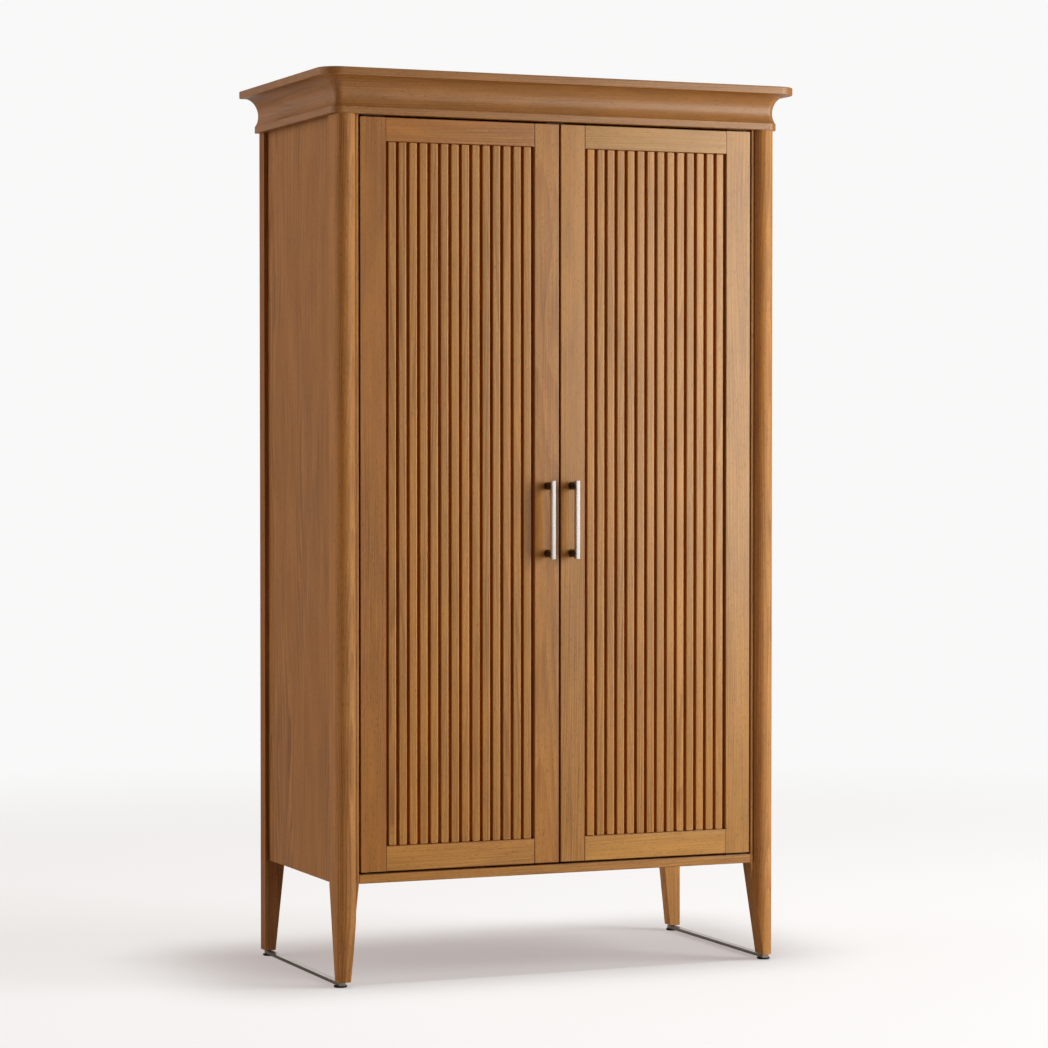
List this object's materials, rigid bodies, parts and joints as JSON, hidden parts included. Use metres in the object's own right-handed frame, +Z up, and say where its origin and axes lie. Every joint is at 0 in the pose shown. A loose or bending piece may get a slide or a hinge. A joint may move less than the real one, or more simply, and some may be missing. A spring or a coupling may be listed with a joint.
{
  "type": "louvred door cabinet",
  "caption": "Tall wooden cabinet with a coved crown, tapered post legs, and hinged doors of upright slats with steel bar handles.",
  "frame": {"origin": "on the floor, under the middle of the top board's outline", "axes": "+Z up, +X to the right as in the picture seen from the front, and the doors face -Y"},
  "size_m": [1.052, 0.535, 1.83],
  "materials": {
    "crown_wood": "satin oiled honey brown, grain along each piece",
    "carcass_wood": "satin oiled honey brown, upright grain",
    "door_wood": "satin oiled honey brown, grain along each piece",
    "slat_wood": "satin oiled honey brown, upright grain that differs slat by slat",
    "inside_wood": "matt brown",
    "handle_steel": "satin",
    "hinge_steel": "satin",
    "foot_bar_steel": "satin",
    "glide_plastic": "matt black",
    "catch_plastic": "matt black"
  },
  "bodies": {
    "carcass": {"top_board": "crown_wood", "cornice_front": "crown_wood", "cornice_left": "crown_wood", "cornice_right": "crown_wood", "cornice_back": "crown_wood", "inner_top_panel": "inside_wood", "post_front_left": "carcass_wood", "post_front_right": "carcass_wood", "post_rear_left": "carcass_wood", "post_rear_right": "carcass_wood", "side_panel_left": "carcass_wood", "side_panel_right": "carcass_wood", "back_panel": "inside_wood", "bottom_front_rail": "carcass_wood", "bottom_board": "inside_wood", "shelf_1": "inside_wood", "shelf_2": "inside_wood", "shelf_3": "inside_wood", "shelf_4": "inside_wood", "shelf_cleat_left_1": "inside_wood", "shelf_cleat_right_1": "inside_wood", "shelf_cleat_left_2": "inside_wood", "shelf_cleat_right_2": "inside_wood", "shelf_cleat_left_3": "inside_wood", "shelf_cleat_right_3": "inside_wood", "shelf_cleat_left_4": "inside_wood", "shelf_cleat_right_4": "inside_wood", "floor_bar_left": "foot_bar_steel", "floor_bar_right": "foot_bar_steel", "glide_front_left": "glide_plastic", "glide_front_right": "glide_plastic", "glide_rear_left": "glide_plastic", "glide_rear_right": "glide_plastic", "left_frame_leaf_top": "hinge_steel", "left_frame_leaf_bottom": "hinge_steel", "right_frame_leaf_top": "hinge_steel", "right_frame_leaf_bottom": "hinge_steel", "door_catch": "catch_plastic"},
    "left_door": {"left_hinge_stile": "door_wood", "left_lock_stile": "door_wood", "left_top_rail": "door_wood", "left_bottom_rail": "door_wood", "left_slat_panel": "slat_wood", "left_handle_bar": "handle_steel", "left_handle_post_upper": "handle_steel", "left_handle_post_lower": "handle_steel", "left_strike_plate": "hinge_steel", "left_door_leaf_top": "hinge_steel", "left_door_leaf_bottom": "hinge_steel"},
    "right_door": {"right_hinge_stile": "door_wood", "right_lock_stile": "door_wood", "right_top_rail": "door_wood", "right_bottom_rail": "door_wood", "right_slat_panel": "slat_wood", "right_handle_bar": "handle_steel", "right_handle_post_upper": "handle_steel", "right_handle_post_lower": "handle_steel", "right_strike_plate": "hinge_steel", "right_door_leaf_top": "hinge_steel", "right_door_leaf_bottom": "hinge_steel"}
  },
  "joints": [
    {"name": "left_door_hinge", "type": "hinge", "parent": "carcass", "child": "left_door", "pos_m": [-0.421, -0.2165, 0.983], "axis": [0, 0, -1], "range_deg": [0, 110]},
    {"name": "right_door_hinge", "type": "hinge", "parent": "carcass", "child": "right_door", "pos_m": [0.421, -0.2165, 0.983], "axis": [0, 0, 1], "range_deg": [0, 110]}
  ]
}
